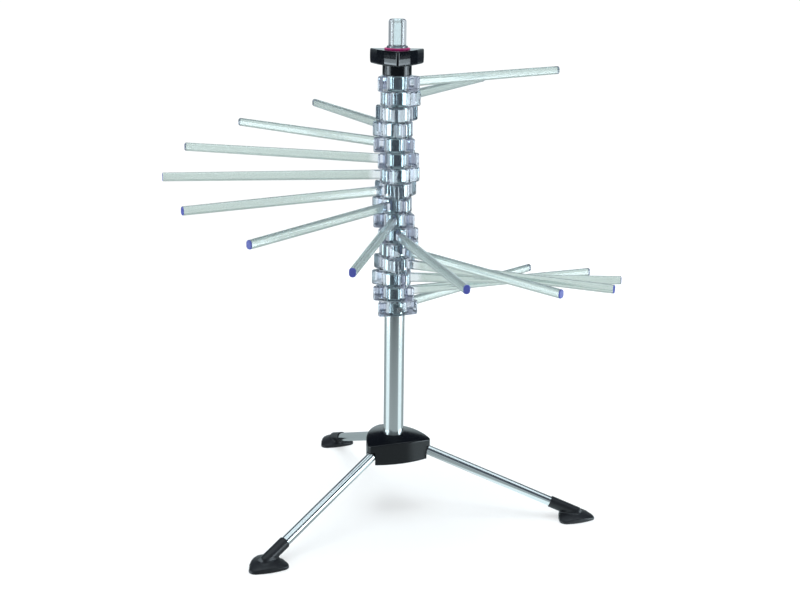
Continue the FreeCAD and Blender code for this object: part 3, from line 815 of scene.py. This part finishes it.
def buildFeet():
    oneFoot = footBlock()
    for side, azimuth in leg["azimuths"].items():
        turn = Matrix.Rotation(math.radians(azimuth), 4, "Z")
        finishPiece(oneFoot.copy(), "foot" + side.title(), "foot_" + side, "leg_" + side,
                    satinBlack, turn, 50)
        dressNode("leg_knuckle_" + side, satinBlack)
        dressNode("leg_pin_" + side, steel)
    oneFoot.free()


buildHub()
buildFeet()
for node in ("hub_cover", "top_bush", "column_plug"):
    dressNode(node, satinBlack)
for node in ("column_screw", "cover_screws", "arm_screw"):
    dressNode(node, steel)
print("tripod built")


# Stage, in metres: lit white sweep, softboxes and strip lights at the sides, a softbox and a lamp overhead,
# and the room. Four numbers in a row are two places or directions and the brightness at each.
stage = {"heldStudio": 0.6, "heldSoftbox": 0.87, "cloth": "#E6F6FF"}
sweepBoard = {
    "front": -0.75, "back": 1.6, "bend": 0.45, "top": 0.5, "frontHalf": 0.6, "backHalf": 1.2,
    "board": "#C0C1C1", "backlight": "#FEFEFE", "backlightWithPaintedShade": (0.1, 0.6, 0.46, 0.68),
    "studio": "#E4F6FC", "nearSpread": -1.15, "farSpread": 6,
    "middleGrey": (-0.75, -0.2, 0.22, 0.46), "sideWhite": (-0.01, 0.05, 0.0, 0.75),
    "wallWidth": (0.35, 0.6, 0.5, 0.0), "wallFoot": (0.02, 0.1, 0.0, 1.0),
}


def studioShare(tree):
    # How much a path sees of the studio instead of the white board: nothing on a straight path, all of it
    # after a mirror-like face, and a part where light was only turned inside one clear piece.
    path = addNode(tree, "ShaderNodeLightPath")
    mirrored = addNode(tree, "ShaderNodeMath", {"operation": "GREATER_THAN", 1: 0.5},
                       {0: path.outputs["Glossy Depth"]})
    onePiece = addNode(tree, "ShaderNodeMath", {"operation": "COMPARE", 1: 2, 2: 0.5},
                       {0: path.outputs["Transmission Depth"]})
    held = addNode(tree, "ShaderNodeMath", {"operation": "MULTIPLY", 1: stage["heldStudio"]}, {0: onePiece})
    left = addNode(tree, "ShaderNodeMath", {"operation": "SUBTRACT", 0: 1}, {1: held})
    return addNode(tree, "ShaderNodeMath", {"operation": "MULTIPLY"}, {0: mirrored, 1: left})


def softboxCloth(name, radiance):
    # Front of a softbox. It is dimmer through one clear piece, so that the plastic doesn't burn out.
    material, tree = startMaterial(name)[:2]
    path = addNode(tree, "ShaderNodeLightPath")
    onePiece = addNode(tree, "ShaderNodeMath", {"operation": "COMPARE", 1: 2, 2: 0.5},
                       {0: path.outputs["Transmission Depth"]})
    held = addNode(tree, "ShaderNodeMath", {"operation": "MULTIPLY", 1: radiance * stage["heldSoftbox"]},
                   {0: onePiece})
    strength = addNode(tree, "ShaderNodeMath", {"operation": "SUBTRACT", 0: radiance}, {1: held})
    finishMaterial(tree, addNode(tree, "ShaderNodeEmission", {"Color": linear(stage["cloth"])},
                                 {"Strength": strength}))
    return material


def whiteSweep():
    # White acrylic, lit from behind, so that the rack throws only faint shadows on it. The backlight is
    # painted weaker near the rack, a painted shade round its foot on top of the overhead lamp's real shadow.
    # Reflections see it as the table of a studio: white at the sides, grey before and behind the rack,
    # with a pale wall.
    material, tree, place = startMaterial("whiteSweep")
    away = addNode(tree, "ShaderNodeVectorMath", {"operation": "LENGTH"}, {0: place})
    # painted shade: the backlight's strength rises from the rack outwards, so the board is darker round the
    # rack's foot
    backlightWithPaintedShade = addNode(tree, "ShaderNodeMapRange", span(*sweepBoard["backlightWithPaintedShade"]), {"Value": away.outputs["Value"]})
    board = addNode(tree, "ShaderNodeBsdfPrincipled",
                    {"Base Color": linear(sweepBoard["board"]), "Roughness": 0.9, "Specular IOR Level": 0.0,
                     "Emission Color": linear(sweepBoard["backlight"])}, {"Emission Strength": backlightWithPaintedShade})
    axes = addNode(tree, "ShaderNodeSeparateXYZ", {}, {"Vector": place})
    across = addNode(tree, "ShaderNodeMath", {"operation": "ABSOLUTE"}, {0: axes.outputs["X"]})
    # the grey middle is a wedge that opens towards the camera and a wider one behind the rack
    near = addNode(tree, "ShaderNodeMath", {"operation": "MULTIPLY", 1: sweepBoard["nearSpread"]},
                   {0: axes.outputs["Y"]})
    far = addNode(tree, "ShaderNodeMath", {"operation": "MULTIPLY", 1: sweepBoard["farSpread"]},
                  {0: axes.outputs["Y"]})
    middle = addNode(tree, "ShaderNodeMath", {"operation": "MAXIMUM"}, {0: near, 1: far})
    beside = addNode(tree, "ShaderNodeMath", {"operation": "SUBTRACT"}, {0: across, 1: middle})
    grey = addNode(tree, "ShaderNodeMapRange", span(*sweepBoard["middleGrey"]), {"Value": axes.outputs["Y"]})
    white = addNode(tree, "ShaderNodeMapRange", span(*sweepBoard["sideWhite"]), {"Value": beside})
    table = addNode(tree, "ShaderNodeMath", {"operation": "ADD"}, {0: grey, 1: white})
    wallWidth = addNode(tree, "ShaderNodeMapRange", span(*sweepBoard["wallWidth"]), {"Value": across})
    wallFoot = addNode(tree, "ShaderNodeMapRange", span(*sweepBoard["wallFoot"]),
                       {"Value": axes.outputs["Z"]})
    wall = addNode(tree, "ShaderNodeMath", {"operation": "MULTIPLY"}, {0: wallWidth, 1: wallFoot})
    strength = addNode(tree, "ShaderNodeMath", {"operation": "ADD"}, {0: table, 1: wall})
    studio = addNode(tree, "ShaderNodeEmission", {"Color": linear(sweepBoard["studio"])},
                     {"Strength": strength})
    finishMaterial(tree, addNode(tree, "ShaderNodeMixShader", {},
                                 {0: studioShare(tree), 1: board, 2: studio}))
    return material


def buildSweep():
    bend = sweepBoard["bend"]
    profile = [Vector((0, sweepBoard["front"], 0))]
    for point in arcPoints(bend, -90, 90, 12):
        profile.append(Vector((0, sweepBoard["back"] - bend + point.x, bend + point.y)))
    profile.append(Vector((0, sweepBoard["back"], sweepBoard["top"])))
    board = whiteSweep()
    # the wall is a piece of its own that cameras don't see, so that it hides nothing from behind
    for name, points in (("sweepFloor", profile[:2]), ("sweepWall", profile[1:])):
        bm = bmesh.new()
        verts = [bm.verts.new(point) for point in points]
        edges = [bm.edges.new(pair) for pair in zip(verts, verts[1:])]
        grown = bmesh.ops.extrude_edge_only(bm, edges=edges)
        right = [item for item in grown["geom"] if isinstance(item, bmesh.types.BMVert)]
        for vert in bm.verts:
            share = (vert.co.y - sweepBoard["front"]) / (sweepBoard["back"] - sweepBoard["front"])
            half = sweepBoard["frontHalf"] + (sweepBoard["backHalf"] - sweepBoard["frontHalf"]) * share
            vert.co.x = half if vert in right else -half
        bmesh.ops.recalc_face_normals(bm, faces=bm.faces[:])
        sheet = toObject(bm, name)
        sheet.data.materials.append(board)
        sheet.data.shade_smooth()
        sheet.visible_camera = name == "sweepFloor"


# the card shows mainly in the knob's left face, and the strip lights in its neck
softboxes = {
    "leftSoftbox": {"place": (-1.3, -0.345, -0.1625), "target": (0, -0.065, -0.1625), "size": (1.2, 0.915),
                    "radiance": 5.0},
    "rightSoftbox": {"place": (1.3, -0.16, -0.1625), "target": (0, 0.08, -0.1625), "size": (1.2, 0.915),
                     "radiance": 7.0},
    "leftCard": {"place": (-1.3, 0.33, 0.2), "target": (0, 0.33, 0.2), "size": (0.36, 0.19),
                 "radiance": 6.5, "throughPlastic": False},
    "leftStriplight": {"place": (-1.3, -0.4, 0.42), "target": (0, -0.4, 0.42), "size": (0.5, 0.25),
                       "radiance": 7.5, "throughPlastic": False},
    "rightStriplight": {"place": (1.3, -0.34, 0.42), "target": (0, -0.34, 0.42), "size": (0.5, 0.25),
                        "radiance": 7.5, "throughPlastic": False},
    "topSoftbox": {"place": (0, 0.25, 2.0), "target": (0, 0.25, 0), "size": (2.6, 2.1), "radiance": 1.3},
}


def addSoftbox(name, place, target, size, radiance, throughPlastic=True):
    bm = bmesh.new()
    bmesh.ops.create_grid(bm, x_segments=1, y_segments=1, size=0.5)
    way = (Vector(target) - Vector(place)).to_track_quat("-Z", "Y").to_matrix().to_4x4()
    movedBlock(bm, Matrix.Translation(place) @ way @ Matrix.Diagonal((size[0], size[1], 1, 1)))
    box = toObject(bm, name)
    box.data.materials.append(softboxCloth(name + "Cloth", radiance))
    box.visible_camera = False
    box.visible_transmission = throughPlastic


room = {
    "pale": "#FDFEFE", "wall": "#DCEEF4", "dark": "#323947", "toCamera": 1.06,
    "behind": (0.6, 0.8, 0.0, 1.0), "wallTop": (0.26, 0.32, 1.0, 0.0), "wallFoot": (-0.08, 0.02, 0.0, 1.0),
    "before": (-0.5, -0.3, 0.6, 0.0), "frontTop": (0.15, 0.45, 1.0, 0.1),
    "overhead": (0.0, 0.4, 0.96, 0.62), "right": (0.45, 0.75, 1.0, 0.42), "left": (-0.75, -0.45, 0.8, 1.0),
}


def buildRoom():
    # White to the camera, and greyer overhead and beside to light that goes through the plastic.
    # In reflections a dark blue room with a pale wall low down behind the rack and a dimmer one in front.
    world = bpy.data.worlds.new("room")
    world.use_nodes = True
    tree = world.node_tree
    tree.nodes.clear()
    way = addNode(tree, "ShaderNodeTexCoord").outputs["Generated"]
    axes = addNode(tree, "ShaderNodeSeparateXYZ", {}, {"Vector": way})
    zones = {}
    for axis, names in {"X": ("right", "left"), "Y": ("behind", "before"),
                        "Z": ("wallTop", "wallFoot", "frontTop", "overhead")}.items():
        for name in names:
            zones[name] = addNode(tree, "ShaderNodeMapRange", span(*room[name]),
                                  {"Value": axes.outputs[axis]})
    front = addNode(tree, "ShaderNodeMath", {"operation": "MULTIPLY"},
                    {0: zones["before"], 1: zones["frontTop"]})
    back = addNode(tree, "ShaderNodeMath", {"operation": "MULTIPLY"},
                   {0: zones["behind"], 1: zones["wallTop"]})
    walls = addNode(tree, "ShaderNodeMath", {"operation": "ADD"}, {0: front, 1: back})
    band = addNode(tree, "ShaderNodeMath", {"operation": "MULTIPLY"}, {0: walls, 1: zones["wallFoot"]})
    dark = addNode(tree, "ShaderNodeBackground", {"Color": linear(room["dark"]), "Strength": 1.0})
    wall = addNode(tree, "ShaderNodeBackground", {"Color": linear(room["wall"]), "Strength": 1.0})
    studio = addNode(tree, "ShaderNodeMixShader", {}, {0: band, 1: dark, 2: wall})
    beside = addNode(tree, "ShaderNodeMath", {"operation": "MULTIPLY"},
                     {0: zones["right"], 1: zones["left"]})
    seen = addNode(tree, "ShaderNodeMath", {"operation": "MULTIPLY"}, {0: zones["overhead"], 1: beside})
    path = addNode(tree, "ShaderNodeLightPath")
    toCamera = addNode(tree, "ShaderNodeMath", {"operation": "MULTIPLY", 1: room["toCamera"]},
                       {0: path.outputs["Is Camera Ray"]})
    white = addNode(tree, "ShaderNodeMath", {"operation": "MAXIMUM"}, {0: seen, 1: toCamera})
    pale = addNode(tree, "ShaderNodeBackground", {"Color": linear(room["pale"])}, {"Strength": white})
    both = addNode(tree, "ShaderNodeMixShader", {}, {0: studioShare(tree), 1: pale, 2: studio})
    addNode(tree, "ShaderNodeOutputWorld", {}, {"Surface": both})
    bpy.context.scene.world = world


def buildLights():
    for name, box in softboxes.items():
        addSoftbox(name, **box)


lamp = {"size": 1.0, "energy": 9.0, "place": (0, 0.05, 1.4)}


def addOverheadLamp():
    # broad lamp right above, for the soft shadow under the hub. Mirrors and clear plastic don't see it.
    light = bpy.data.lights.new("overheadLamp", "AREA")
    light.size = lamp["size"]
    light.energy = lamp["energy"]
    holder = bpy.data.objects.new("overheadLamp", light)
    holder.location = lamp["place"]
    holder.visible_camera = False
    holder.visible_glossy = False
    holder.visible_transmission = False
    bpy.context.scene.collection.objects.link(holder)


camera = {"place": (0, -1.2748, 0.5615), "pitchDown": 15.1335, "yawRight": 0.2335, "roll": 0.6501,
          "lens": 60.5, "sensor": 36.0}


def buildCamera():
    lens = bpy.data.cameras.new("photoCamera")
    lens.lens = camera["lens"]
    lens.sensor_width = camera["sensor"]
    viewer = bpy.data.objects.new("photoCamera", lens)
    yaw = Matrix.Rotation(-math.radians(camera["yawRight"]), 4, "Z")
    pitch = Matrix.Rotation(math.radians(90 - camera["pitchDown"]), 4, "X")
    roll = Matrix.Rotation(math.radians(camera["roll"]), 4, "Z")
    viewer.matrix_world = Matrix.Translation(camera["place"]) @ yaw @ pitch @ roll
    bpy.context.scene.collection.objects.link(viewer)
    bpy.context.scene.camera = viewer
    bpy.context.scene.view_settings.view_transform = "Standard"


buildSweep()
buildRoom()
buildLights()
addOverheadLamp()
buildCamera()
print("stage set")
